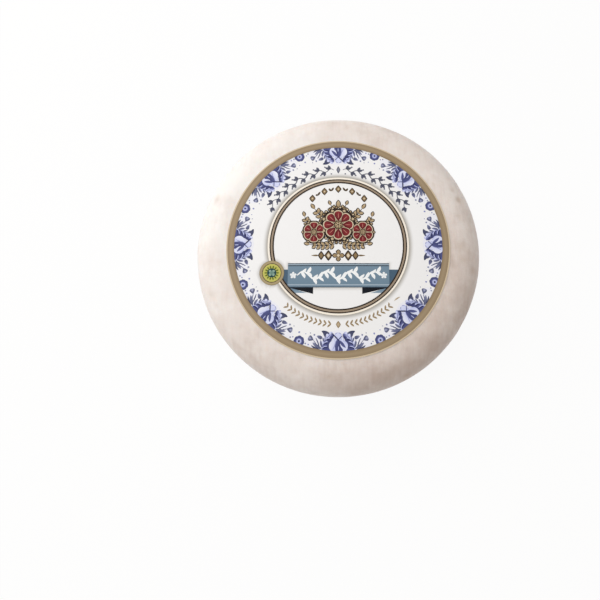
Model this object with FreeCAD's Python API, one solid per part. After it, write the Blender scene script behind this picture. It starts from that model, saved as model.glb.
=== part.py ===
"""A whole wheel of pressed goat cheese, lying on its flat base with its round paper label up.

The wheel is one solid of revolution. Its profile is five tangent pieces: a flat base, a lower
shoulder, a bulging side, an upper shoulder and a slightly crowned face. The label is a sheet of
even thickness that lies against the face, and bends over the shoulder if it is wide enough.

The frame's origin is the middle of the base, +Z is up along the wheel's axis, and the top of the
label's artwork points to +Y. Sizes are in millimetres.
"""

import FreeCAD
import Part

import math
import os
from collections import namedtuple

# The wheel
WHEEL_DIAMETER = 260.0  # across the belly, its widest place
WHEEL_HEIGHT = 88.0  # from the base to the middle of the face
BELLY_HEIGHT = 42.0  # the belly lies a little low, because a ripening wheel sags
SIDE_INSET = 11.0  # how far in from the belly the side's arc has come at the further face
LOWER_SHOULDER = 25.0  # radius of the shoulder that the wheel's weight has pressed tighter
UPPER_SHOULDER = 28.0  # radius of the shoulder round the face
FACE_CROWN = 4.0  # how much lower the face's arc is at that distance out than in its middle

# The label
LABEL_DIAMETER = 193.0
LABEL_THICKNESS = 0.3  # the paper with its glue and the clear coating brushed over it

UP = FreeCAD.Vector(0, 0, 1)
Circle = namedtuple("Circle", "r z radius")  # centre in the half plane of the profile


def side_circle():
    """The circle of the side, which touches the belly's widest ring from inside."""
    reach = max(BELLY_HEIGHT, WHEEL_HEIGHT - BELLY_HEIGHT)
    radius = (reach**2 + SIDE_INSET**2) / (2 * SIDE_INSET)
    return Circle(WHEEL_DIAMETER / 2 - radius, BELLY_HEIGHT, radius)


def crown_circle():
    """The large circle of the face, with its centre on the wheel's axis."""
    reach = WHEEL_DIAMETER / 2 - SIDE_INSET
    radius = (reach**2 + FACE_CROWN**2) / (2 * FACE_CROWN)
    return Circle(0.0, WHEEL_HEIGHT - radius, radius)


def upper_shoulder_circle(crown, side):
    """The circle of radius UPPER_SHOULDER that touches the crown's and the side's from inside."""
    from_crown = crown.radius - UPPER_SHOULDER
    from_side = side.radius - UPPER_SHOULDER
    across, rise = side.r - crown.r, side.z - crown.z
    apart = math.hypot(across, rise)
    along = (apart**2 + from_crown**2 - from_side**2) / (2 * apart)
    off = math.sqrt(from_crown**2 - along**2)
    return Circle(
        crown.r + (along * across + off * rise) / apart,
        crown.z + (along * rise - off * across) / apart,
        UPPER_SHOULDER,
    )


def lower_shoulder_circle(side):
    """The circle of radius LOWER_SHOULDER that touches the base and, from inside, the side's."""
    drop = side.z - LOWER_SHOULDER
    across = math.sqrt((side.radius - LOWER_SHOULDER) ** 2 - drop**2)
    return Circle(side.r + across, LOWER_SHOULDER, LOWER_SHOULDER)


def on_circle(circle, angle, grow=0.0):
    """The point of a circle at this angle above the horizontal, with the circle grown outwards."""
    radius = circle.radius + grow
    return FreeCAD.Vector(
        circle.r + radius * math.cos(angle), 0, circle.z + radius * math.sin(angle)
    )


def angle_between(inner, outer):
    """The angle at which a circle touches the larger one round it."""
    return math.atan2(inner.z - outer.z, inner.r - outer.r)


def wheel_body(grow=0.0):
    """The wheel as a solid, with every surface moved outwards by grow."""
    side = side_circle()
    crown = crown_circle()
    upper = upper_shoulder_circle(crown, side)
    lower = lower_shoulder_circle(side)
    top = math.pi / 2
    bends = [
        (lower, -top, angle_between(lower, side)),
        (side, angle_between(lower, side), angle_between(upper, side)),
        (upper, angle_between(upper, side), angle_between(upper, crown)),
        (crown, angle_between(upper, crown), top),
    ]
    arcs = [
        Part.Arc(*(on_circle(circle, angle, grow) for angle in (a, (a + b) / 2, b)))
        for circle, a, b in bends
    ]
    base_middle = FreeCAD.Vector(0, 0, -grow)
    face_middle = on_circle(crown, top, grow)
    edges = [Part.LineSegment(base_middle, on_circle(lower, -top, grow)).toShape()]
    edges += [arc.toShape() for arc in arcs]
    edges.append(Part.LineSegment(face_middle, base_middle).toShape())
    profile = Part.Face(Part.Wire(edges))
    return profile.revolve(FreeCAD.Vector(0, 0, 0), UP, 360)


def label_sheet():
    """The label: the thin space between the wheel and the wheel grown by the label's thickness."""
    from_belly = FreeCAD.Vector(0, 0, BELLY_HEIGHT)
    column = Part.makeCylinder(LABEL_DIAMETER / 2, WHEEL_HEIGHT, from_belly, UP)
    return wheel_body(LABEL_THICKNESS).common(column).cut(wheel_body())


def main():
    nodes = {"cheese": wheel_body(), "label": label_sheet()}
    os.makedirs("parts", exist_ok=True)
    for name, shape in nodes.items():
        solids = shape.Solids
        assert len(solids) == 1 and shape.isValid(), f"{name} isn't one valid solid"
        solids[0].exportStep(f"parts/{name}.step")
        box = solids[0].optimalBoundingBox()
        size = f"{box.XLength:.2f} x {box.YLength:.2f} x {box.ZLength:.2f} mm"
        print(f"{name}: {size}, from z {box.ZMin:.2f}, {solids[0].Volume / 1000:.1f} cm3")


main()
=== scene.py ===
import bpy
import random
from math import atan2, ceil, copysign, cos, dist, exp, hypot, log, pi, radians, sin, sqrt
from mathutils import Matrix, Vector, noise


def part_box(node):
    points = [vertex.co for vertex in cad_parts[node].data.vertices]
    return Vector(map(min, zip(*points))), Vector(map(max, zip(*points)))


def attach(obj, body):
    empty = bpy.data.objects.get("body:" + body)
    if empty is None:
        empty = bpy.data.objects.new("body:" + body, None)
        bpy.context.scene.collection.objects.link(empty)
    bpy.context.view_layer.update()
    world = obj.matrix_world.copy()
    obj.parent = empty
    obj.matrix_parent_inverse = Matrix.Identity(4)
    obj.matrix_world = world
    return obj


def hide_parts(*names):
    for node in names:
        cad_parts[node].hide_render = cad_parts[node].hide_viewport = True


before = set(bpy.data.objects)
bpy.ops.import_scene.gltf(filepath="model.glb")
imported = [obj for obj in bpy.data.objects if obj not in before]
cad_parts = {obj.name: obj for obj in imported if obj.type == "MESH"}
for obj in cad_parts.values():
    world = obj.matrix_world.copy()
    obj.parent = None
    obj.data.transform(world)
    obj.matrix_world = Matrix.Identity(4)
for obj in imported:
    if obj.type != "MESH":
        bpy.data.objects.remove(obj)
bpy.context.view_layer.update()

# Shapes are worked out in millimetres, in the frame's own axes: +Z up, +Y to the top of the label.
mm = 0.001
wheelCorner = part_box("cheese")[1]
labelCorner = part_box("label")[1]
wheelRadius = round(wheelCorner.x / mm)
wheelHeight = round(wheelCorner.z / mm)
labelRadius = round(labelCorner.x / mm, 1)
paperThickness = round((labelCorner.z - wheelCorner.z) / mm, 2)
print(f"frame: wheel {2 * wheelRadius} x {wheelHeight} mm, label {2 * labelRadius} mm")


def linear(hexColour):
    # sRGB hex to the linear numbers that Blender's sockets take
    parts = [int(hexColour[i:i + 2], 16) / 255 for i in (1, 3, 5)]
    return (*(p / 12.92 if p <= 0.04045 else ((p + 0.055) / 1.055) ** 2.4 for p in parts), 1.0)


def perMetre(size):
    # a texture's scale for features of this many millimetres
    return 1 / (size * mm)


def smooth(low, high, value):
    # 0 up to low, 1 from high on, and an even curve between them
    t = min(max((value - low) / (high - low), 0), 1)
    return t * t * (3 - 2 * t)


def addNode(tree, kind, inputs={}, **settings):
    # each input, by its name or number, gets a value or another node's output
    node = tree.nodes.new("ShaderNode" + kind)
    for key, value in settings.items():
        setattr(node, key, value)
    for key, value in inputs.items():
        if isinstance(value, bpy.types.NodeSocket):
            tree.links.new(value, node.inputs[key])
        else:
            node.inputs[key].default_value = value
    return node


def setRamp(node, stops):
    # stops are (place, hex colour), from the lowest place
    elements = node.color_ramp.elements
    while len(elements) < len(stops):
        elements.new(1.0)
    for element, (place, colour) in zip(elements, stops):
        element.position = place
        element.color = linear(colour)


def newMaterial(name, values):
    material = bpy.data.materials.new(name)
    material.use_nodes = True
    surface = material.node_tree.nodes["Principled BSDF"]
    for key, value in values.items():
        surface.inputs[key].default_value = value
    return material, material.node_tree, surface


def newMesh(name, points, faces, material):
    mesh = bpy.data.meshes.new(name)
    mesh.from_pydata([Vector(p) * mm for p in points], [], faces)
    mesh.validate()
    mesh.polygons.foreach_set("use_smooth", [True] * len(mesh.polygons))
    mesh.materials.append(material)
    piece = bpy.data.objects.new(name, mesh)
    bpy.context.scene.collection.objects.link(piece)
    return piece


def storeTones(piece, tones):
    # one number for each point, which the piece's material reads
    piece.data.attributes.new("tone", "FLOAT", "POINT").data.foreach_set("value", tones)


# the wheel of cheese, one solid of pressed curd
wheel = {
    "belly": 42.0,  # height of the widest place
    "inset": 11.0,  # how far in the side's arc has come at the face
    "lowerShoulder": 25.0,
    "upperShoulder": 28.0,
    "crown": 4.0,  # how far the face's arc drops over its width
    "segments": 450,
    "ringStep": 1.7,  # along the side and the shoulders
    "faceStep": 4.0,  # along the face, most of which the label covers
    "baseStep": 15,
    "swell": [(0.3, 75), (0.14, 26), (0.05, 9)],  # height and size of the uneven lumps
    "swellFrom": (1.0, 12.0),  # heights between which they set in, so that the base stays flat
    # pressed in by a thumb: angle in degrees, share of the upper shoulder, size and depth
    "thumbMarks": [(21.5, 0.62, 2.9, 0.5), (26.5, 0.66, 2.2, 0.3), (-62, 0.30, 3.0, 0.4)],
    "dimples": 34,  # smaller ones left by the mould, anywhere on the side and the shoulder
    "dimpleSize": (1.6, 5.0),
    "dimpleDepth": (0.1, 0.32),
    "seed": 11,
    # the ramp's darker stops also carry the painted shade on the side away from the key light
    "tones": [(0.34, "#f3efec"), (0.5, "#e6dcd6"), (0.68, "#c9b8ae"), (0.86, "#b5a398")],
    "speckAndShadeColour": "#b59a80",  # of the dried specks, and of the painted shade in the dimples
    # how strongly the specks and the painted shade in the dimples show
    "speckAndShadeShare": 0.45,
    "shine": (0.42, 0.6),  # the roughness, from its glossiest to its dullest place
}


def wheelArcs():
    # the frame's own tangent arcs from the base up: centre (r, z), radius, first and last angle
    reach = max(wheel["belly"], wheelHeight - wheel["belly"])
    sideRadius = (reach ** 2 + wheel["inset"] ** 2) / (2 * wheel["inset"])
    side = (wheelRadius - sideRadius, wheel["belly"])
    width = wheelRadius - wheel["inset"]
    crownRadius = (width ** 2 + wheel["crown"] ** 2) / (2 * wheel["crown"])
    crown = (0.0, wheelHeight - crownRadius)
    low, high = wheel["lowerShoulder"], wheel["upperShoulder"]
    lower = (side[0] + sqrt((sideRadius - low) ** 2 - (side[1] - low) ** 2), low)
    fromCrown, fromSide = crownRadius - high, sideRadius - high
    apart = dist(crown, side)
    along = (apart ** 2 + fromCrown ** 2 - fromSide ** 2) / (2 * apart)
    off = sqrt(fromCrown ** 2 - along ** 2)
    r, z = (side[0] - crown[0]) / apart, (side[1] - crown[1]) / apart
    upper = (crown[0] + along * r + off * z, crown[1] + along * z - off * r)
    bends = [atan2(a[1] - b[1], a[0] - b[0])
             for a, b in ((lower, side), (upper, side), (upper, crown))]
    return [
        (lower, low, -pi / 2, bends[0]),
        (side, sideRadius, bends[0], bends[1]),
        (upper, high, bends[1], bends[2]),
        (crown, crownRadius, bends[2], pi / 2),
    ]


arcs = wheelArcs()
crownCentre, crownRadius = arcs[3][:2]


def faceHeight(x, y):
    # of the crowned face, before it is made uneven
    return crownCentre[1] + sqrt(crownRadius ** 2 - x * x - y * y)


def unevenness(x, y, z):
    # how far the rind stands proud of the true form
    place = Vector((x, y, z))
    lumps = sum(height * noise.noise(place / size) for height, size in wheel["swell"])
    return lumps * smooth(*wheel["swellFrom"], z)


def onFace(x, y, up):
    # a point lying on the uneven face, up by this much
    z = faceHeight(x, y)
    return x, y, z + unevenness(x, y, z) + up


def wheelProfile():
    # (r, z, outward r, outward z) from the middle of the base to the middle of the face
    innermost, baseRadius = 12, int(arcs[0][0][0])
    rows = [(r, 0.0, 0.0, -1.0) for r in range(innermost, baseRadius, wheel["baseStep"])]
    for centre, radius, first, last in arcs:
        step = wheel["faceStep"] if radius == crownRadius else wheel["ringStep"]
        count = ceil(abs(last - first) * radius / step)
        for i in range(count):
            angle = first + (last - first) * i / count
            out = (cos(angle), sin(angle))
            rows.append((centre[0] + radius * out[0], centre[1] + radius * out[1], *out))
    return rows


def makeDimples():
    # shallow pits in the rind, each as its middle, size and depth
    pick = random.Random(wheel["seed"])
    centre, radius, first, last = arcs[2]
    aboveBelly = 26  # how far up the side goes from the belly before the shoulder
    pits = [(radians(degrees), *rest) for degrees, *rest in wheel["thumbMarks"]]
    for _ in range(wheel["dimples"]):
        pits.append((pick.uniform(0, 2 * pi), pick.uniform(-1.2, 0.9),
                     pick.uniform(*wheel["dimpleSize"]), pick.uniform(*wheel["dimpleDepth"])))
    found = []
    for turn, share, size, depth in pits:
        angle = first + (last - first) * share
        r = centre[0] + radius * cos(angle)
        z = centre[1] + radius * sin(angle)
        if share < 0:  # below the shoulder, on the side
            r, z = wheelRadius - 1.0, wheel["belly"] + aboveBelly * (1 + share)
        found.append((Vector((r * cos(turn), r * sin(turn), z)), size, depth))
    return found


def makeRind(material):
    rows = wheelProfile()
    pits = makeDimples()
    count = wheel["segments"]
    fullShadeDepth = 0.4  # a pit this deep gets the full painted shade
    points, shadedPits = [], []
    for r, z, outR, outZ in rows:
        for i in range(count):
            turn = 2 * pi * i / count
            x, y = r * cos(turn), r * sin(turn)
            place = Vector((x, y, z))
            proud, pitShade = unevenness(x, y, z), 0.0
            for centre, size, depth in pits:
                away = (place - centre).length / size
                if away < 2.5:
                    drop = depth * exp(-away * away)
                    lip = depth * 0.25 * exp(-(away - 1.5) ** 2 * 5)  # pushed up round the pit
                    proud -= drop - lip
                    # painted shade in the pits: the deeper the point, the darker its colour
                    pitShade = max(pitShade, drop / fullShadeDepth)
            out = (outR * cos(turn), outR * sin(turn), outZ)
            points.append(tuple(at + proud * way for at, way in zip((x, y, z), out)))
            shadedPits.append(min(pitShade, 1.0))
    faces = []
    for row in range(len(rows) - 1):
        for i in range(count):
            after = (i + 1) % count
            a, b = row * count, (row + 1) * count
            faces.append((a + i, a + after, b + after, b + i))
    points += [(0, 0, 0), onFace(0, 0, 0)]
    shadedPits += [0.0, 0.0]
    base, top, last = len(points) - 2, len(points) - 1, (len(rows) - 1) * count
    faces += [(base, (i + 1) % count, i) for i in range(count)]
    faces += [(top, last + i, last + (i + 1) % count) for i in range(count)]
    piece = newMesh("rind", points, faces, material)
    storeTones(piece, shadedPits)
    return piece


def rindMaterial():
    # Pressed-curd rind under a brushed clear plastic cheese coat: milky, faintly pink-beige,
    # mottled where it dried unevenly, with a soft satin shine.
    material, tree, surface = newMaterial("coatedCheeseRind", {
        "IOR": 1.46,
        "Specular IOR Level": 0.35,
        "Subsurface Weight": 0.12,
        "Subsurface Radius": (1.0, 0.6, 0.4),
        "Subsurface Scale": 4 * mm,
        "Coat Weight": 0.1,
        "Coat Roughness": 0.34,
    })
    place = addNode(tree, "TexCoord").outputs["Object"]

    # broad patches a hand wide, and clouds inside them, where the rind dried unevenly
    broad = addNode(tree, "TexNoise", {"Scale": perMetre(95), "Detail": 2.0, "Vector": place})
    cloudy = addNode(tree, "TexNoise",
                     {"Scale": perMetre(17), "Detail": 5.0, "Roughness": 0.55, "Vector": place})
    # The cheesecloth's warp, straight across the face. One thread is 0.4 mm wide and wouldn't show,
    # so each streak stands for several: 3 mm wide and 12 mm long.
    warpSizes = (perMetre(2.9), perMetre(12), perMetre(34))  # across, along and down
    warpPlace = addNode(tree, "VectorMath", {0: place, 1: warpSizes}, operation="MULTIPLY")
    warp = addNode(tree, "TexNoise", {"Scale": 1.0, "Detail": 3.0, "Vector": warpPlace.outputs[0]})
    # and streaks that run down the side, where the cloth was gathered into folds 4 mm wide
    foldSizes = (perMetre(4.2), perMetre(4.2), perMetre(60))
    foldPlace = addNode(tree, "VectorMath", {0: place, 1: foldSizes}, operation="MULTIPLY")
    folds = addNode(tree, "TexNoise", {"Scale": 1.0, "Detail": 3.0, "Vector": foldPlace.outputs[0]})

    # the 0.17 includes a lift that makes up for the painted shade's paling at the height of the face
    tone = addNode(tree, "Math", {0: broad.outputs["Fac"], 1: 0.3, 2: 0.17},
                   operation="MULTIPLY_ADD")
    for share, pattern in ((0.28, cloudy), (0.12, warp), (0.06, folds)):
        tone = addNode(tree, "Math", {0: pattern.outputs["Fac"], 1: share, 2: tone.outputs[0]},
                       operation="MULTIPLY_ADD")
    # painted shade: the rind is made darker and browner towards the side away from the key light and
    # lower down the side, and a little paler towards the top
    paintedShadeWay = (0.8 / (wheelRadius * mm), -0.6 / (wheelRadius * mm), -5)
    paintedShadeLean = addNode(tree, "VectorMath", {0: place, 1: paintedShadeWay}, operation="DOT_PRODUCT")
    tone = addNode(tree, "Math", {0: paintedShadeLean.outputs["Value"], 1: 0.12, 2: tone.outputs[0]},
                   operation="MULTIPLY_ADD")
    milk = addNode(tree, "ValToRGB", {"Fac": tone.outputs[0]})
    setRamp(milk, wheel["tones"])

    # Dried specks 1.3 mm across, in about one 9 mm cell of twenty-five. The real ones are half that
    # and wouldn't show.
    cells = addNode(tree, "TexVoronoi", {"Scale": perMetre(9), "Vector": place})
    isSpeck = addNode(tree, "Math", {0: cells.outputs["Distance"], 1: 0.075}, operation="LESS_THAN")
    picked = addNode(tree, "Math", {0: cells.outputs["Color"], 1: 0.14}, operation="LESS_THAN")
    specks = addNode(tree, "Math", {0: isSpeck.outputs[0], 1: picked.outputs[0]},
                     operation="MULTIPLY")
    # painted shade in the dimples, stored with the rind's points by how deep they lie
    pitShade = addNode(tree, "Attribute", attribute_name="tone")
    specksAndShade = addNode(tree, "Math", {0: specks.outputs[0], 1: pitShade.outputs["Fac"]},
                    operation="MAXIMUM")
    specksAndShade = addNode(tree, "Math", {0: specksAndShade.outputs[0], 1: wheel["speckAndShadeShare"]},
                    operation="MULTIPLY")
    # inputs 6 and 7 of a colour Mix are its two colours, and output 2 is the result
    colour = addNode(tree, "Mix",
                     {0: specksAndShade.outputs[0], 6: milk.outputs["Color"], 7: linear(wheel["speckAndShadeColour"])},
                     data_type="RGBA")
    tree.links.new(colour.outputs[2], surface.inputs["Base Color"])

    # the cheesecloth left a net 1.6 mm wide on the curd's own grain of 4.5 mm, and the coat has
    # filled most of it
    threads = addNode(tree, "TexVoronoi",
                      {"Scale": perMetre(1.6), "Randomness": 0.35, "Vector": place})
    relief = addNode(tree, "TexNoise", {"Scale": perMetre(4.5), "Detail": 6.0, "Vector": place})
    for share, height in ((0.25, threads.outputs["Distance"]), (0.3, warp.outputs["Fac"])):
        relief = addNode(tree, "Math", {0: height, 1: share, 2: relief.outputs[0]},
                         operation="MULTIPLY_ADD")
    bump = addNode(tree, "Bump",
                   {"Strength": 0.6, "Distance": 0.4 * mm, "Height": relief.outputs[0]})
    tree.links.new(bump.outputs["Normal"], surface.inputs["Normal"])
    tree.links.new(bump.outputs["Normal"], surface.inputs["Coat Normal"])
    glossiest, dullest = wheel["shine"]
    shine = addNode(tree, "MapRange",
                    {"To Min": glossiest, "To Max": dullest, "Value": cloudy.outputs["Fac"]})
    tree.links.new(shine.outputs["Result"], surface.inputs["Roughness"])
    return material


rind = makeRind(rindMaterial())
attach(rind, "root")
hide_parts("cheese")
print(f"rind: {len(rind.data.polygons)} faces")


# the label: its paper, and the main places of its print
label = {
    "borderRadius": 89.4,  # inner edge of the tan ring
    "tanRadius": 95.1,  # its outer edge
    "ringRadius": 55.2,  # inner edge of the inner ring's lines
    "ringWidth": 5.3,  # out to the end of its pale edge
    "sealPlace": (-56.2, -24.8),
    "sealRadius": 10.5,
    "ribbonLow": -37.2,
    "ribbonHigh": -16.6,
    "ribbonLeft": -42.6,
    "ribbonRight": 43.0,
    "layer": 0.012,  # how far apart the printed layers lie
    "overPaper": 0.02,  # how far over the paper the lowest of them lies
    "tones": [(0.0, "#f6f6f7"), (1.0, "#b0aca5")],  # bare paper, and its deepest shade
    "edgeShade": 0.45,  # the bare edge, yellowed by the cheese coat that laps over it
    "ringShade": 5.5,  # width of the soft shade printed outside the inner ring
    # strength and width of the soft shades under the ribbon, at its ends and round the seal
    "ribbonShade": (0.55, 3.2),
    "endShade": (0.4, 2.5),
    "sealShade": (0.6, 3.0),
    "segments": 256,
}


def paperGrain(tree, surface):
    # Pressed almost flat. A paper fibre is about 0.03 mm wide, too fine to show, so the grain is
    # drawn 0.9 mm wide.
    place = addNode(tree, "TexCoord").outputs["Object"]
    fibres = addNode(tree, "TexNoise", {"Scale": perMetre(0.9), "Detail": 4.0, "Vector": place})
    bump = addNode(tree, "Bump",
                   {"Strength": 0.12, "Distance": 0.1 * mm, "Height": fibres.outputs["Fac"]})
    tree.links.new(bump.outputs["Normal"], surface.inputs["Normal"])
    return fibres


def toneMaterial(name, stops, roughness=0.46):
    # Coated label paper is matt and smooth with hardly a shine, and offset ink on it looks the same.
    # The tones stored in the mesh say how deep it is, and the paper's grain keeps it from being even.
    material, tree, surface = newMaterial(name, {
        "Roughness": roughness,
        "IOR": 1.48,
        "Specular IOR Level": 0.12,
    })
    fibres = paperGrain(tree, surface)
    tone = addNode(tree, "Attribute", attribute_name="tone")
    spread = addNode(tree, "Math", {0: fibres.outputs["Fac"], 1: 0.06, 2: -0.03},
                     operation="MULTIPLY_ADD")
    uneven = addNode(tree, "Math", {0: tone.outputs["Fac"], 1: spread.outputs[0]}, operation="ADD")
    colours = addNode(tree, "ValToRGB", {"Fac": uneven.outputs[0]})
    setRamp(colours, stops)
    tree.links.new(colours.outputs["Color"], surface.inputs["Base Color"])
    return material


def fade(shade, away):
    # a soft shade of this (strength, width), this far from the edge that it follows
    strength, width = shade
    return strength * (1 - smooth(0, width, abs(away)))


def paperShade(x, y):
    # 0 is bare paper, 1 the deepest of the soft shade printed round the ring, the ribbon and the seal
    r = hypot(x, y)
    outer = label["ringRadius"] + label["ringWidth"] - 0.3  # just under the ring's outer edge
    shade = (1 - smooth(outer, outer + label["ringShade"], r)) ** 1.4 if r > outer - 1.2 else 0.0
    if r > label["tanRadius"] - 1:
        shade = label["edgeShade"]
    if r < label["ringRadius"]:
        over = smooth(-3, 0, x - label["ribbonLeft"]) * smooth(-3, 0, label["ribbonRight"] - x)
        shade = max(shade, over * fade(label["ribbonShade"], label["ribbonLow"] - y))
        beside = max(label["ribbonLeft"] - x, x - label["ribbonRight"])
        level = smooth(-2, 0, y - label["ribbonLow"]) * smooth(-2, 0, label["ribbonHigh"] - y)
        shade = max(shade, level * fade(label["endShade"], beside))
    fromSeal = dist((x, y), label["sealPlace"]) - label["sealRadius"]
    return max(shade, fade(label["sealShade"], fromSeal))


def paperRadii():
    # closer rings where the soft shade round the inner ring lies
    radii = [1.25 * i for i in range(1, 45)]
    radii += [56.0 + 0.6 * i for i in range(1, 20)]
    start, end, steps = radii[-1], labelRadius - 0.12, 12
    return radii + [start + (end - start) * i / steps for i in range(1, steps + 1)]


def makePaper(material):
    radii = paperRadii()
    count = label["segments"]
    points, tones = [onFace(0, 0, paperThickness)], [0.0]
    for r in radii:
        for i in range(count):
            turn = 2 * pi * i / count
            x, y = r * cos(turn), r * sin(turn)
            points.append(onFace(x, y, paperThickness))
            tones.append(paperShade(x, y))
    for up in (paperThickness - 0.1, -0.15):  # the cut edge, down to just inside the rind
        for i in range(count):
            turn = 2 * pi * i / count
            points.append(onFace(labelRadius * cos(turn), labelRadius * sin(turn), up))
            tones.append(0.0)
    faces = [(0, 1 + i, 1 + (i + 1) % count) for i in range(count)]
    for row in range(len(radii) + 1):
        for i in range(count):
            after = (i + 1) % count
            a, b = 1 + row * count, 1 + (row + 1) * count
            faces.append((a + i, b + i, b + after, a + after))
    piece = newMesh("labelPaper", points, faces, material)
    storeTones(piece, tones)
    return piece


paper = makePaper(toneMaterial("whiteCoatedLabelPaper", label["tones"]))
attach(paper, "root")
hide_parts("label")
print(f"label paper: {len(paper.data.polygons)} faces")


def newDrawing():
    # Print is drawn as shapes, each a small grid of faces whose tones say how deep the ink is.
    return {"points": [], "faces": [], "tones": [], "shapes": 0}


def addPatch(drawing, rows, columns, where, tone, layer):
    # where(u, v) gives x and y and tone(u, v) the ink, with u from 0 to 1 and v from -1 to 1
    first = len(drawing["points"])
    drawing["shapes"] += 1
    overLast = 0.08  # in layers, so that two shapes of one layer never lie in one plane
    lift = layer + drawing["shapes"] * overLast
    for row in range(rows + 1):
        for column in range(columns + 1):
            u, v = row / rows, 2 * column / columns - 1
            drawing["points"].append((*where(u, v), lift))
            drawing["tones"].append(min(max(tone(u, v), 0), 1))
    for row in range(rows):
        for column in range(columns):
            corner = first + row * (columns + 1) + column
            above = corner + columns + 1
            drawing["faces"].append((corner, corner + 1, above + 1, above))


def outFrom(place, angle, away):
    # the point this far from a place, at an angle from +X
    return place[0] + away * cos(angle), place[1] + away * sin(angle)


def petal(drawing, base, tip, width, layer, bend=0.0, full=0.5, blunt=0.7, tones=(0.9, 0.5),
          rim=0.0, side=0.0):
    # width is half the widest place, which lies at the share full of its length, and bend bows it
    # to the left; the tones go from base to tip, rim darkens both edges, side one more than the other
    x0, y0 = base
    x2, y2 = tip
    x1, y1 = (x0 + x2) / 2 - (y2 - y0) * bend, (y0 + y2) / 2 + (x2 - x0) * bend
    power = log(0.5) / log(full)

    def where(u, v):
        u = (1 - cos(pi * u)) / 2
        x = (1 - u) ** 2 * x0 + 2 * u * (1 - u) * x1 + u * u * x2
        y = (1 - u) ** 2 * y0 + 2 * u * (1 - u) * y1 + u * u * y2
        dx = (1 - u) * (x1 - x0) + u * (x2 - x1)
        dy = (1 - u) * (y1 - y0) + u * (y2 - y1)
        half = width * max(sin(pi * u ** power), 0) ** blunt * v
        half /= max(hypot(dx, dy), 1e-6)
        return x - dy * half, y + dx * half

    def tone(u, v):
        edge = max(abs(v) - 0.55, 0) / 0.45
        return tones[0] + (tones[1] - tones[0]) * u + rim * edge + side * v

    addPatch(drawing, 9, 8, where, tone, layer)


def line(drawing, path, width, layer, tone=1.0, steps=18, taper=0.5):
    # a brush line along path(u), which thins towards both ends
    def where(u, v):
        x0, y0 = path(max(u - 0.01, 0))
        x1, y1 = path(min(u + 0.01, 1))
        x, y = path(u)
        size = max(hypot(x1 - x0, y1 - y0), 1e-6)
        half = width * max(sin(pi * (0.04 + 0.92 * u)), 0) ** taper * v / size
        return x - (y1 - y0) * half, y + (x1 - x0) * half

    addPatch(drawing, steps, 2, where, lambda u, v: tone, layer)


def bow(a, b, bend):
    # a path from a to b that bows to its left
    middle = ((a[0] + b[0]) / 2 - (b[1] - a[1]) * bend, (a[1] + b[1]) / 2 + (b[0] - a[0]) * bend)

    def path(u):
        return tuple((1 - u) ** 2 * start + 2 * u * (1 - u) * half + u * u * end
                     for start, half, end in zip(a, middle, b))

    return path


def dot(drawing, centre, radius, layer, tones):
    # the tones go from its middle to its edge
    def where(u, v):
        return outFrom(centre, pi * v, radius * u)

    addPatch(drawing, 2, 14, where, lambda u, v: tones[0] + (tones[1] - tones[0]) * u, layer)


def diamond(drawing, centre, width, height, layer, tones):
    # a lozenge: the two tones are its field's and its edge's
    def where(u, v):
        c, s = cos(pi * v), sin(pi * v)
        x = width * u * copysign(abs(c) ** 1.7, c)
        y = height * u * copysign(abs(s) ** 1.7, s)
        return centre[0] + x, centre[1] + y

    addPatch(drawing, 4, 32, where, lambda u, v: tones[0] if u < 0.6 else tones[1], layer)


def band(drawing, inner, outer, layer, tones, steps=256):
    # a ring between two radii, with a tone at each
    def where(u, v):
        return outFrom((0, 0), 2 * pi * u, (inner + outer) / 2 + (outer - inner) / 2 * v)

    def tone(u, v):
        return tones[0] + (tones[1] - tones[0]) * (v + 1) / 2

    addPatch(drawing, steps, 2, where, tone, layer)


def stamp(drawing, motif, place, layers=0):
    # copies a motif into a larger drawing, this many layers up; place(x, y) is where a point goes
    first = len(drawing["points"])
    drawing["points"] += [(*place(x, y), lift + layers) for x, y, lift in motif["points"]]
    drawing["tones"] += motif["tones"]
    drawing["faces"] += [tuple(first + corner for corner in face) for face in motif["faces"]]


def aroundRim(degrees, rimRadius):
    # motifs are drawn with x along the rim and y in from it
    def place(x, y):
        return outFrom((0, 0), radians(degrees) - x / rimRadius, rimRadius - y)

    return place


def printInk(name, drawing, material):
    # turns a drawing into a piece that lies on the label, with every face up
    lowest = paperThickness + label["overPaper"]
    points = [onFace(x, y, lowest + lift * label["layer"]) for x, y, lift in drawing["points"]]
    faces = []
    for face in drawing["faces"]:
        a, b, c, d = (points[corner] for corner in face)
        turn = (c[0] - a[0]) * (d[1] - b[1]) - (c[1] - a[1]) * (d[0] - b[0])
        faces.append(face if turn > 0 else face[::-1])
    piece = newMesh(name, points, faces, material)
    storeTones(piece, drawing["tones"])
    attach(piece, "root")
    print(f"{name}: {len(piece.data.polygons)} faces")


# the blue floral border, in the way of old painted tiles
floral = {
    "clusters": 8,
    "bloomInk": [(0.0, "#eceffe"), (0.25, "#c8cff6"), (0.5, "#999ecc"), (0.75, "#60669b"),
                 (1.0, "#31355e")],
    "leafInk": [(0.0, "#dfe2f2"), (0.35, "#a9adc8"), (0.7, "#6d7293"), (1.0, "#3f435f")],
    "washInk": [(0.0, "#f1f2fb"), (1.0, "#e4e7f8")],
    "flowerRadius": 4.6,
    "flowerDepth": 1.8,  # its middle, in from the tan ring, which cuts its top off
    "flowerTurn": 0.8,  # degrees
}


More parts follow.
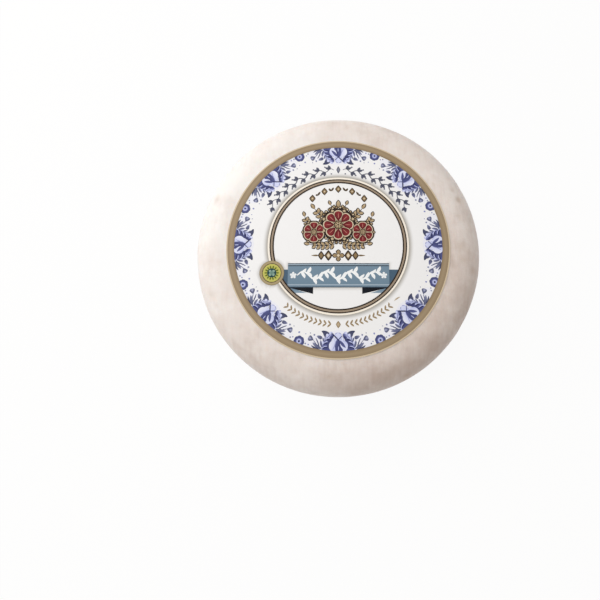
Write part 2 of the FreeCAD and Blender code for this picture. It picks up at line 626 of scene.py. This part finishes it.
def drawPeony(motif):
    # dark wings with a pale scalloped fringe hold two pale lobes, a dark heart and a bud
    fringe = ((8.8, 0.2, 15.0, 2.4), (8.8, 3.0, 15.0, 6.4), (7.8, 5.6, 13.6, 10.2),
              (6.2, 8.0, 11.4, 13.2), (4.4, 10.0, 8.4, 15.2))
    for side in (-1, 1):
        for x, y, toX, toY in fringe:
            petal(motif, (side * x, y), (side * toX, toY), 1.8, 1, full=0.66, blunt=0.5,
                  tones=(0.6, 0.0), rim=0.3)
        petal(motif, (side * 10.6, -2.4), (side * 4.4, 13.9), 2.9, 3, bend=-0.27 * side, full=0.36,
              blunt=0.45, tones=(0.9, 0.72), side=0.16 * side)
        petal(motif, (side * 10.6, 4.4), (side * 4.2, 12.4), 1.3, 4, bend=-0.1 * side,
              tones=(0.86, 1.0))
        line(motif, bow((side * 11.2, 6.0), (side * 7.0, 12.8), -0.14 * side), 0.3, 4, 0.25)
        for x, y, toX, toY in ((13.4, 1.6, 9.6, 3.4), (13.0, 5.0, 9.2, 7.2), (11.4, 8.6, 7.6, 10.2)):
            line(motif, bow((side * x, y), (side * toX, toY), -0.22 * side), 0.34, 5, 0.25)
            line(motif, bow((side * x, y - 0.9), (side * toX, toY - 1.0), -0.22 * side), 0.6, 5, 1.0)
    # the lobes differ: one curls over a dark drop, the other is a smooth pale cup
    petal(motif, (-10.5, 0.0), (10.5, 0.0), 2.8, 6, blunt=0.3, tones=(0.8, 0.85))
    petal(motif, (-1.4, 10.2), (-6.6, 0.3), 4.5, 7, bend=0.12, full=0.6, blunt=0.45,
          tones=(0.28, 0.06), rim=0.14)
    petal(motif, (-0.8, 8.6), (-6.3, 2.4), 1.25, 9, full=0.45, tones=(0.92, 0.75))
    petal(motif, (-0.8, 6.6), (-3.2, -1.4), 1.5, 9, full=0.5, tones=(0.95, 0.85))
    line(motif, bow((-1.7, 5.8), (-4.6, 1.0), 0.1), 0.5, 10, 0.1)
    petal(motif, (1.6, 10.2), (6.4, 0.4), 4.4, 7, bend=-0.12, full=0.6, blunt=0.45,
          tones=(0.28, 0.08), rim=0.08, side=-0.2)
    line(motif, bow((2.4, 7.8), (4.6, 1.2), -0.1), 0.35, 9, 0.5)
    petal(motif, (0.6, -1.8), (0.2, 9.8), 2.5, 8, full=0.5, blunt=0.5, tones=(0.95, 0.82), side=0.05)
    line(motif, bow((-0.3, 0.4), (-0.1, 3.8), 0.0), 0.36, 10, 0.3)
    for x, y in ((-3.9, 9.6), (4.2, 9.4)):
        petal(motif, (x, y - 1.5), (x, y + 1.6), 1.0, 11, blunt=0.5, tones=(0.05, 0.15), rim=0.3)
    petal(motif, (0.3, 9.8), (0.3, 15.0), 3.4, 12, full=0.6, blunt=0.42, tones=(0.22, 0.1), rim=0.16)
    line(motif, bow((-2.6, 13.6), (-0.2, 14.8), 0.1), 0.28, 13, 0.5)
    line(motif, bow((0.8, 14.8), (3.0, 13.6), 0.1), 0.28, 13, 0.5)
    line(motif, bow((0.6, 8.4), (-3.8, 12.2), -0.05), 0.4, 13, 0.8)
    line(motif, bow((-0.8, 8.2), (6.6, 14.2), 0.05), 0.55, 13, 1.0)


def drawSprigs(motif):
    # dark leaves below the bloom, and buds, leaves and stems trailing off along the rim
    for side in (-1, 1):
        def at(x, y):
            return side * x, y

        petal(motif, at(8.2, 13.7), at(16.6, 14.9), 1.5, 0, bend=-0.05 * side, tones=(1.0, 1.0))
        petal(motif, at(12.0, 15.2), at(12.6, 10.6), 2.7, 0, full=0.3, tones=(1.0, 0.85))
        petal(motif, at(15.0, 9.2), at(20.0, 10.2), 1.5, 0, full=0.3, blunt=0.6, tones=(1.0, 0.5))
        petal(motif, at(22.2, 6.4), at(27.2, 7.4), 2.3, 0, full=0.72, blunt=0.4,
              tones=(0.95, 0.5), rim=0.35)
        petal(motif, at(24.2, 6.8), at(26.4, 7.3), 0.8, 2, full=0.7, blunt=0.5, tones=(0.5, 0.3))
        petal(motif, at(12.4, -1.0), at(23.2, 1.8), 0.95, 2, bend=-0.1 * side, tones=(1.0, 0.9))
        petal(motif, at(13.8, 0.9), at(22.4, 4.2), 1.3, 1, bend=-0.08 * side, tones=(0.9, 0.5), rim=0.3)
        petal(motif, at(13.2, 1.6), at(15.8, 7.6), 0.95, 1, bend=-0.14 * side,
              tones=(0.85, 0.6), rim=0.1)
        petal(motif, at(12.4, 6.2), at(14.6, 10.0), 0.7, 5, tones=(0.75, 0.85))
        line(motif, bow(at(15.4, -0.4), at(20.6, 8.4), 0.14 * side), 0.5, 3, 0.85)
        line(motif, bow(at(17.0, 1.0), at(22.6, 6.4), 0.1 * side), 0.34, 3, 0.75)
        line(motif, bow(at(12.2, 8.0), at(12.3, 11.4), 0.0), 0.36, 3, 0.75)
        for x, y, size in ((22.6, 10.6, 0.8), (28.2, 1.8, 0.65), (26.6, 11.2, 0.45)):
            dot(motif, at(x, y), size, 3, (0.6, 0.5))


def drawWash(motif):
    # a pale blue wash, brushed round the bloom before the leaves
    for side in (-1, 1):
        petal(motif, (side * 6, 3.5), (side * 29.5, 4.6), 7.4, 0, full=0.4, blunt=0.5, tones=(0.0, 0.0))
    petal(motif, (-14, 5.0), (14, 5.0), 12.0, 0, blunt=0.4, tones=(0.04, 0.04))


def drawFlower(motif):
    # the small round flower between two clusters
    middle = (0, floral["flowerDepth"])
    size = floral["flowerRadius"]
    for k in range(7):
        angle = 2 * pi / 7 * k + 0.45
        base, tip = outFrom(middle, angle, 0.6), outFrom(middle, angle, size)
        petal(motif, base, tip, 0.44 * size, 1, full=0.62, blunt=0.42, tones=(0.8, 0.92))
    for share, layer, tones in ((0.52, 3, (0.45, 0.5)), (0.4, 4, (0.3, 0.3)), (0.2, 5, (1.0, 1.0))):
        dot(motif, middle, share * size, layer, tones)
    for x, y, berry in ((-8.3, 1.8, 0.65), (6.3, 3.0, 0.6), (2.8, 8.6, 0.8), (-3.4, 9.4, 0.45)):
        dot(motif, (x, y), berry, 1, (0.62, 0.5))


def makeFloralBorder():
    wash, bloom, leaves, flower = newDrawing(), newDrawing(), newDrawing(), newDrawing()
    drawWash(wash)
    drawPeony(bloom)
    drawSprigs(leaves)
    drawFlower(flower)
    pale, blue, navy = newDrawing(), newDrawing(), newDrawing()
    step = 360 / floral["clusters"]
    for k in range(floral["clusters"]):
        place = aroundRim(90 + k * step, label["borderRadius"])
        stamp(pale, wash, place)
        stamp(navy, leaves, place, 2)
        stamp(blue, bloom, place, 2)
        turn = 90 + (k + 0.5) * step + floral["flowerTurn"]
        stamp(blue, flower, aroundRim(turn, label["borderRadius"]), 2)
    printInk("floralWash", pale, toneMaterial("paleBlueOffsetInk", floral["washInk"]))
    printInk("floralLeaves", navy, toneMaterial("navyBlueOffsetInk", floral["leafInk"]))
    printInk("floralBlooms", blue, toneMaterial("cobaltBlueOffsetInk", floral["bloomInk"]))


makeFloralBorder()


# the tan ring at the rim, and the lined ring round the middle
rings = {
    "tan": [(0.0, "#d4c2a6"), (0.3, "#aa967a"), (1.0, "#8a785f")],
    "lines": [(0.0, "#fbf3e6"), (0.5, "#a08f7c"), (1.0, "#2a1f16")],
    # inner radius past ringRadius, width and tone of each line of the inner ring
    "innerRing": [(0.0, 1.15, 1.0), (1.15, 1.5, 0.5), (2.65, 1.05, 1.0), (3.7, 1.6, 0.0)],
}


def makeRings():
    tan = newDrawing()
    middle = (label["borderRadius"] + label["tanRadius"]) / 2
    band(tan, label["borderRadius"], middle, 24, (0.85, 0.4))
    band(tan, middle, label["tanRadius"], 24, (0.4, 0.75))
    band(tan, label["tanRadius"], labelRadius - 0.3, 24, (0.0, 0.0))  # a thin paler line round it
    printInk("tanRing", tan, toneMaterial("tanBronzeOffsetInk", rings["tan"], 0.4))
    inner = newDrawing()
    for start, width, tone in rings["innerRing"]:
        r = label["ringRadius"] + start
        band(inner, r, r + width, 12, (tone, tone))
    printInk("innerRing", inner, toneMaterial("brownLineOffsetInk", rings["lines"]))


makeRings()


# the folded ribbon with its white vine
ribbon = {
    "ink": [(0.0, "#a9b9c6"), (0.35, "#7c93a6"), (0.6, "#6d8598"), (0.85, "#4b6276"),
            (1.0, "#060810")],
    "vineInk": [(0.0, "#fafcfd"), (1.0, "#d3dee6")],
    "tailDrop": 5.4,  # how much lower the tails' upper edge lies than the panel's
    "tailDepth": 4.6,  # how far they reach below the panel
    "foldWidth": 21.5,
    "foldDepth": 5.4,
    # height over the panel's lower edge or under its upper one, and tone, of each line along it
    "lowLines": [(0.4, 0.9), (1.2, 0.3), (2.3, 0.0)],
    "highLines": [(0.4, 0.9), (1.2, 0.0), (2.1, 0.96)],
    "vineLeaves": 14,
}


def block(drawing, corners, layer, tone, rows=4, columns=10):
    # a four-sided field; corners go round it, and it is cut fine enough to lie on the crowned face
    a, b, c, d = corners

    def where(u, v):
        t = (v + 1) / 2
        low = (a[0] + (b[0] - a[0]) * t, a[1] + (b[1] - a[1]) * t)
        high = (d[0] + (c[0] - d[0]) * t, d[1] + (c[1] - d[1]) * t)
        return low[0] + (high[0] - low[0]) * u, low[1] + (high[1] - low[1]) * u

    addPatch(drawing, rows, columns, where, tone, layer)


def drawTail(drawing, side):
    # the tail runs from behind the panel to under the ring, which cuts it along its own curve
    edge = label["ribbonRight"] if side > 0 else label["ribbonLeft"]
    top = label["ribbonHigh"] - ribbon["tailDrop"]
    bottom = label["ribbonLow"] - ribbon["tailDepth"]
    reach = label["ringRadius"] + 0.4

    def where(u, v):
        y = bottom + (top - bottom) * u
        end = side * sqrt(reach ** 2 - y * y)
        under = max(label["ribbonLow"] - y, 0) / ribbon["tailDepth"]
        start = edge - side * (2 + 14 * under)
        return start + (end - start) * (v + 1) / 2, y

    addPatch(drawing, 16, 8, where, lambda u, v: 0.25 + 0.6 * smooth(0.0, 0.35, u), 2)


def makeRibbon():
    low, high = label["ribbonLow"], label["ribbonHigh"]
    left, right = label["ribbonLeft"], label["ribbonRight"]
    field = newDrawing()
    for side, edge in ((-1, left), (1, right)):
        drawTail(field, side)
        inner = edge - side * (ribbon["foldWidth"] + (0 if side < 0 else 1.5))
        outer = edge - side * 1.5
        deep = low - ribbon["foldDepth"]
        block(field, [(outer, low - 0.3), (inner, deep), (inner, low + 0.6), (outer, low + 0.6)], 5,
              lambda u, v: 1.0)
    block(field, [(left, low), (right, low), (right, high), (left, high)], 8,
          lambda u, v: 0.42 + 0.12 * (1 - u), 8, 24)
    lines = [(low + away, tone) for away, tone in ribbon["lowLines"]]
    lines += [(high - away, tone) for away, tone in ribbon["highLines"]]
    for y, tone in lines:
        under, over = y - 0.36, y + 0.36
        block(field, [(left, under), (right, under), (right, over), (left, over)], 10,
              lambda u, v, tone=tone: tone, 1, 24)
    printInk("ribbon", field, toneMaterial("slateBlueOffsetInk", ribbon["ink"]))


def makeRibbonVine():
    low, high = label["ribbonLow"], label["ribbonHigh"]
    left, right = label["ribbonLeft"], label["ribbonRight"]
    vine = newDrawing()
    middle = (low + high) / 2

    def stem(u):
        x = left + 8 + (right - left - 16) * u
        return x, middle + 3.2 * sin(2 * pi * 3.5 * u)

    line(vine, stem, 0.85, 12, 0.0, steps=90, taper=0.3)
    for k in range(ribbon["vineLeaves"]):
        u = (k + 0.6) / (ribbon["vineLeaves"] + 0.2)
        x, y = stem(u)
        up = 1 if k % 2 else -1
        petal(vine, (x, y), (x + 3.4, y + up * 5.2), 1.4, 13, bend=-0.25 * up, tones=(0.0, 0.2),
              rim=0.1)
        petal(vine, (x, y), (x + 4.6, y - up * 3.2), 1.1, 13, bend=0.25 * up, tones=(0.0, 0.2))
    for x in (left + 4.6, right - 4.6):
        for k in range(5):
            angle = 2 * pi * (k + 0.25) / 5
            petal(vine, (x, middle), outFrom((x, middle), angle, 2.9), 1.0, 13, full=0.66,
                  blunt=0.5, tones=(0.6, 0.0))
    printInk("ribbonVine", vine, toneMaterial("whiteKnockedOutInk", ribbon["vineInk"]))


makeRibbon()
makeRibbonVine()


# the three round blossoms with leaf sprays in the middle
blossom = {
    "middle": (0.0, 17.0),
    "radius": 13.2,
    "sidePlace": (21.0, 10.6),
    "sideRadius": 9.2,
    "beads": 30,
    "redInk": [(0.0, "#c98478"), (0.4, "#8f3033"), (1.0, "#4a1419")],
    "goldInk": [(0.0, "#f2e6cf"), (0.35, "#b9a27f"), (0.6, "#8f7857"), (1.0, "#2b2019")],
}


def outlined(drawing, base, tip, width, layer, tones=(0.55, 0.2), **shape):
    # a petal on a slightly larger dark one
    size = dist(base, tip)
    far = (tip[0] + (tip[0] - base[0]) * 0.7 / size, tip[1] + (tip[1] - base[1]) * 0.7 / size)
    petal(drawing, base, far, width + 0.7, layer, tones=(1.0, 1.0), **shape)
    petal(drawing, base, tip, width, layer + 1, tones=tones, **shape)


def drawBlossom(gold, red, place, size, petals, turn):
    # gold sepals show between petals of red on gold, each petal with a pale line along it
    dot(gold, place, 1.13 * size, 5, (1.0, 1.0))
    for k in range(petals):
        angle = 2 * pi * (k + 0.5) / petals + turn
        base, tip = outFrom(place, angle, 0.5 * size), outFrom(place, angle, 1.12 * size)
        outlined(gold, base, tip, 0.17 * size, 9)
    width = size * 2.5 / petals
    for k in range(petals):
        angle = 2 * pi * k / petals + turn
        base, tip = outFrom(place, angle, 0.2 * size), outFrom(place, angle, size)
        outlined(gold, base, tip, width, 12, full=0.68, blunt=0.45, tones=(0.3, 0.15))
        base, tip = outFrom(place, angle, 0.26 * size), outFrom(place, angle, 0.93 * size)
        petal(red, base, tip, width * 0.84, 32, full=0.68, blunt=0.45, tones=(1.0, 0.4), rim=0.3)
        base, tip = outFrom(place, angle, 0.45 * size), outFrom(place, angle, 0.8 * size)
        line(red, bow(base, tip, 0), 0.24, 34, 0.0)


def drawBoss(boss, place, size):
    # the blossom's beaded middle
    dot(boss, place, size, 42, (1.0, 1.0))
    dot(boss, place, size * 0.82, 43, (0.1, 0.5))
    for k in range(6):
        dot(boss, outFrom(place, pi / 3 * (k + 0.5), 0.55 * size), size * 0.15, 44, (1.0, 1.0))
    dot(boss, place, size * 0.28, 44, (1.0, 0.7))


def drawSpray(gold, path, leaves, size, width):
    # a leafy twig along a path
    line(gold, path, 0.5, 1, 1.0, steps=24)
    for k in range(leaves):
        u = 0.1 + 0.84 * k / leaves
        x, y = path(u)
        x1, y1 = path(u + 0.03)
        along = atan2(y1 - y, x1 - x)
        length = size * (1 - 0.3 * u)
        for turn in (0.8, -0.8):
            outlined(gold, (x, y), outFrom((x, y), along + turn, length), width, 2, bend=0.12 * turn)
    x, y = path(1)
    x1, y1 = path(0.95)
    outlined(gold, (x, y), outFrom((x, y), atan2(y - y1, x - x1), size), width, 2)


def makeBlossoms():
    gold, red, boss = newDrawing(), newDrawing(), newDrawing()
    x0, y0 = blossom["middle"]
    sideX, sideY = blossom["sidePlace"]
    for side in (-1, 1):
        drawSpray(gold, bow((side * 10, 22), (side * 20.5, 31.5), -0.12 * side), 3, 5.2, 1.15)
        drawSpray(gold, bow((side * 22, 15), (side * 29.0, 24.5), -0.2 * side), 3, 4.4, 1.0)
        drawSpray(gold, bow((side * 2, 0.4), (side * 24.5, -0.2), -0.14 * side), 5, 4.6, 1.05)
        drawSpray(gold, bow((side * 1.5, 28), (side * 6.5, 35.0), -0.1 * side), 2, 4.0, 0.95)
    outlined(gold, (x0, y0 + 15), (x0, y0 + 22), 1.6, 4)
    far = blossom["radius"] + 2.6
    for k in range(blossom["beads"]):
        place = outFrom((x0, y0), 2 * pi * k / blossom["beads"], far)
        dot(gold, place, 1.5, 7, (1.0, 1.0))
        dot(gold, place, 0.8, 8, (0.05, 0.35) if k % 2 else (0.4, 0.6))
    for side in (-1, 1):
        drawBlossom(gold, red, (side * sideX, sideY), blossom["sideRadius"], 6, pi / 6)
        drawBoss(boss, (side * sideX, sideY), 2.4)
    drawBlossom(gold, red, (x0, y0), blossom["radius"], 8, 0)
    drawBoss(boss, (x0, y0), 3.7)
    goldInk = toneMaterial("goldBrownOffsetInk", blossom["goldInk"])
    printInk("blossomGold", gold, goldInk)
    printInk("blossomRed", red, toneMaterial("darkRedOffsetInk", blossom["redInk"]))
    printInk("blossomBoss", boss, goldInk)
    return goldInk


goldInk = makeBlossoms()


# small ornaments: lozenges over and under the blossoms, and garlands along the outer arcs
ornaments = {
    "arcMiddle": 15.9,  # height of the middle of the lozenges' arc
    "arcRadius": 33.8,
    "arcHalfAngle": 42,
    "ruleHeight": -9.9,
    "garlandRadius": 67.9,
    "topHalfAngle": 62,
    "bottomHalfAngle": 38,
    "bottomPairs": 11,  # pairs of leaves on each side
    "navyInk": [(0.0, "#9a9ca8"), (0.5, "#686b7c"), (1.0, "#3f4254")],
    "tanInk": [(0.0, "#c9b79c"), (0.5, "#ad9877"), (1.0, "#8d7757")],
}


def onArc(radius, degrees):
    # degrees are clockwise from the top
    angle = radians(degrees)
    return radius * sin(angle), radius * cos(angle)


def makeLozenges():
    rule = newDrawing()
    for k in range(9):
        degrees = ornaments["arcHalfAngle"] * (k - 4) / 4
        x, y = onArc(ornaments["arcRadius"], degrees)
        y += ornaments["arcMiddle"]
        if k % 2 == 0:
            diamond(rule, (x, y), 2.8, 3.5, 1, (0.55, 0.95))
            dot(rule, (x, y), 0.6, 2, (0.1, 0.1))
        else:
            c, s = cos(radians(degrees)), -sin(radians(degrees))
            for turn in (-1, 1):
                tip = (x + turn * 2.3 * c, y + turn * 2.3 * s + 1.6 * c)
                petal(rule, (x - 1.2 * s, y - 1.4 * c), tip, 0.9, 1, tones=(0.95, 0.85))
    y = ornaments["ruleHeight"]
    for k in range(4):
        outlined(rule, (0, y), outFrom((0, y), pi / 2 * k, 4.6), 1.5, 1, full=0.6,
                 tones=(0.7, 0.35))
    dot(rule, (0, y), 1.1, 4, (0.1, 0.1))
    for side in (-1, 1):
        diamond(rule, (side * 8.4, y), 3.3, 4.7, 1, (0.6, 1.0))
        diamond(rule, (side * 8.4, y), 1.3, 1.9, 2, (0.1, 0.1))
        diamond(rule, (side * 14.6, y), 2.7, 4.0, 1, (0.6, 1.0))
        dot(rule, (side * 11.6, y), 0.75, 1, (0.85, 0.85))
        petal(rule, (side * 17.2, y), (side * 23.0, y), 0.7, 1, full=0.3, tones=(0.85, 0.6))
    printInk("lozengeRule", rule, goldInk)


def drawVine(drawing, radius, start, end, leaf, swing, wave):
    # a wavy stem along an arc, with two leaves off every crest and a dot in every hollow
    count = round(radians(abs(end - start)) * radius / wave)

    def stem(u):
        away = swing * sin(2 * pi * count * u)
        return onArc(radius + away, start + (end - start) * u)

    line(drawing, stem, 0.42, 1, 0.85, steps=count * 10, taper=0.3)
    turn = copysign(1, end - start)
    for k in range(2 * count):
        u = (k + 0.5) / (2 * count)
        out = 1 if k % 2 == 0 else -1
        degrees = start + (end - start) * u
        base = onArc(radius + out * swing, degrees)
        for reach, away in ((0.95, 0.55), (0.35, 1.0)):
            tip = onArc(radius + out * (swing + away * leaf * 0.75),
                        degrees + turn * reach * leaf / radius * 180 / pi)
            petal(drawing, base, tip, 0.24 * leaf, 2, bend=-0.2 * out * turn, tones=(1.0, 0.55))
        back = onArc(radius - out * (swing + 0.45 * leaf), degrees)
        dot(drawing, back, 0.65, 1, (0.75, 0.75))


def makeNavyGarland():
    navy = newDrawing()
    radius = ornaments["garlandRadius"]
    for side in (-1, 1):
        drawVine(navy, radius, side * 3.4, side * ornaments["topHalfAngle"], 4.9, 1.3, 10.5)
    diamond(navy, onArc(radius, 0), 1.7, 3.4, 1, (0.2, 0.8))
    printInk("navyGarland", navy, toneMaterial("navyOffsetInk", ornaments["navyInk"]))


def makeTanGarland():
    tan = newDrawing()
    radius = ornaments["garlandRadius"]
    nearest, furthest = 5, ornaments["bottomHalfAngle"]
    for side in (-1, 1):
        for k in range(ornaments["bottomPairs"]):
            share = k / (ornaments["bottomPairs"] - 1)
            degrees = 180 - side * (nearest + (furthest - nearest) * share)
            for away in (-1, 1):
                tip = onArc(radius + away * 2.9, degrees - side * 2.3)
                petal(tan, onArc(radius, degrees), tip, 0.72, 1, bend=0.15 * away * side,
                      tones=(1.0, 0.6))
    # one fallen leaf past the right end
    petal(tan, onArc(67.2, 180 - 44), onArc(68.6, 180 - 49), 0.55, 1, bend=0.1, tones=(0.1, 0.5))
    diamond(tan, onArc(radius, 180), 2.0, 3.0, 1, (0.2, 0.9))
    printInk("tanGarland", tan, toneMaterial("tanOffsetInk", ornaments["tanInk"]))


makeLozenges()
makeNavyGarland()
makeTanGarland()


# the round seal: a clover on a green disc, in a ring of leaflets on a yellow field
seal = {
    "leaflets": 14,
    "goldInk": [(0.0, "#d2c3a3"), (0.5, "#ab9a76"), (1.0, "#4c4028")],
    "fieldInk": [(0.0, "#cbc670"), (0.5, "#b2b04a"), (1.0, "#566a22")],
    "leafInk": [(0.0, "#b9d3c0"), (0.5, "#3f6a62"), (1.0, "#1d3f42")],
}


def makeSeal():
    size = label["sealRadius"]
    rim, field, leaves = newDrawing(), newDrawing(), newDrawing()
    dot(rim, (0, 0), size, 1, (0.5, 0.5))
    band(rim, size * 0.93, size, 2, (0.45, 0.75), steps=64)
    band(rim, size * 0.73, size * 0.79, 2, (1.0, 0.9), steps=64)
    dot(field, (0, 0), size * 0.74, 6, (0.45, 0.15))
    for k in range(seal["leaflets"]):
        angle = 2 * pi / seal["leaflets"] * k
        base, tip = outFrom((0, 0), angle, size * 0.34), outFrom((0, 0), angle, size * 0.6)
        petal(field, base, tip, size * 0.065, 8, tones=(1.0, 0.9))
    dot(leaves, (0, 0), size * 0.38, 10, (0.75, 1.0))
    for k in range(4):
        tip = outFrom((0, 0), pi / 2 * k + pi / 4, size * 0.3)
        petal(leaves, (0, 0), tip, size * 0.11, 11, full=0.62, blunt=0.5, tones=(0.5, 0.1))

    x0, y0 = label["sealPlace"]
    overRing = 16  # layers, because the seal covers part of the lined ring
    for name, drawing, ink, finish in (("sealRim", rim, "goldInk", "paleGoldOffsetInk"),
                                       ("sealField", field, "fieldInk", "yellowOffsetInk"),
                                       ("sealLeaves", leaves, "leafInk", "greenOffsetInk")):
        placed = newDrawing()
        stamp(placed, drawing, lambda x, y: (x0 + x, y0 + y), overRing)
        printInk(name, placed, toneMaterial(finish, seal[ink]))


makeSeal()


# floor, light and camera
studio = {
    "floorSize": 8.0,  # metres, as the light's size and distance are
    "floorColour": "#f6f5f3",
    "whiteShare": 0.92,  # how much of the floor that the camera sees is plain white
    "keyPower": 31.3,
    "keySize": 2.3,
    "keyDistance": 2.0,
    "keyAzimuth": 148,  # degrees from +X, so from the left and a little behind
    "keyHeight": 49,  # degrees above the horizon
    "worldStrength": 0.48,
    "worldColour": "#fffaf4",
}


def seenShare(tree, share):
    # this share for what the camera, a mirror or glass sees directly, and 0 for the rest
    rays = addNode(tree, "LightPath").outputs
    seen = rays["Is Camera Ray"]
    for kind in ("Is Glossy Ray", "Is Transmission Ray"):
        seen = addNode(tree, "Math", {0: seen, 1: rays[kind]}, operation="MAXIMUM").outputs[0]
    return addNode(tree, "Math", {0: seen, 1: share}, operation="MULTIPLY").outputs[0]


def makeFloor():
    # a matt white paper sweep, lifted to white where it is seen, so that the wheel leaves only a
    # soft shadow on it
    material = bpy.data.materials.new("mattWhitePaperSweep")
    material.use_nodes = True
    tree = material.node_tree
    tree.nodes.clear()
    matt = addNode(tree, "BsdfDiffuse", {"Color": linear(studio["floorColour"])})
    white = addNode(tree, "Emission", {"Color": (1, 1, 1, 1), "Strength": 1.0})
    mixed = addNode(tree, "MixShader",
                    {0: seenShare(tree, studio["whiteShare"]), 1: matt.outputs[0], 2: white.outputs[0]})
    addNode(tree, "OutputMaterial", {"Surface": mixed.outputs[0]})
    half = studio["floorSize"] / 2 / mm
    corners = [(-half, -half, 0), (half, -half, 0), (half, half, 0), (-half, half, 0)]
    floor = newMesh("floor", corners, [(0, 1, 2, 3)], material)


def makeWorld():
    world = bpy.data.worlds.new("softRoom")
    bpy.context.scene.world = world
    world.use_nodes = True
    tree = world.node_tree
    tree.nodes.clear()
    soft = addNode(tree, "Background",
                   {"Color": linear(studio["worldColour"]), "Strength": studio["worldStrength"]})
    white = addNode(tree, "Background", {"Color": (1, 1, 1, 1), "Strength": 1.0})
    mixed = addNode(tree, "MixShader",
                    {0: seenShare(tree, 1.0), 1: soft.outputs[0], 2: white.outputs[0]})
    addNode(tree, "OutputWorld", {"Surface": mixed.outputs[0]})


def makeKeyLight():
    lamp = bpy.data.lights.new("keySoftbox", "AREA")
    lamp.shape = "DISK"
    lamp.size = studio["keySize"]
    lamp.energy = studio["keyPower"]
    key = bpy.data.objects.new("keySoftbox", lamp)
    turn, rise = radians(studio["keyAzimuth"]), radians(studio["keyHeight"])
    away = Vector((cos(turn) * cos(rise), sin(turn) * cos(rise), sin(rise)))
    key.location = away * studio["keyDistance"]
    key.rotation_euler = away.to_track_quat("Z", "Y").to_euler()
    bpy.context.scene.collection.objects.link(key)


shot = {
    "lens": 26.24,
    "distance": 371.7,  # millimetres
    "tilt": 11.43,  # degrees from straight down
    "aim": (0.18, -10.77),  # on the level of the face's middle
    "shift": (-0.0642, -0.0725),
}


def makeCamera():
    data = bpy.data.cameras.new("camera")
    data.lens = shot["lens"]
    data.shift_x, data.shift_y = shot["shift"]
    data.clip_start = 0.01
    camera = bpy.data.objects.new("camera", data)
    tilt = radians(shot["tilt"])
    aim = Vector((*shot["aim"], wheelHeight))
    camera.location = (aim + Vector((0, -sin(tilt), cos(tilt))) * shot["distance"]) * mm
    camera.rotation_euler = (tilt, 0, 0)
    bpy.context.scene.collection.objects.link(camera)
    bpy.context.scene.camera = camera


makeFloor()
makeWorld()
makeKeyLight()
makeCamera()
bpy.context.scene.view_settings.view_transform = "Standard"
print("floor, world, light and camera: done")

print("pieces: done")
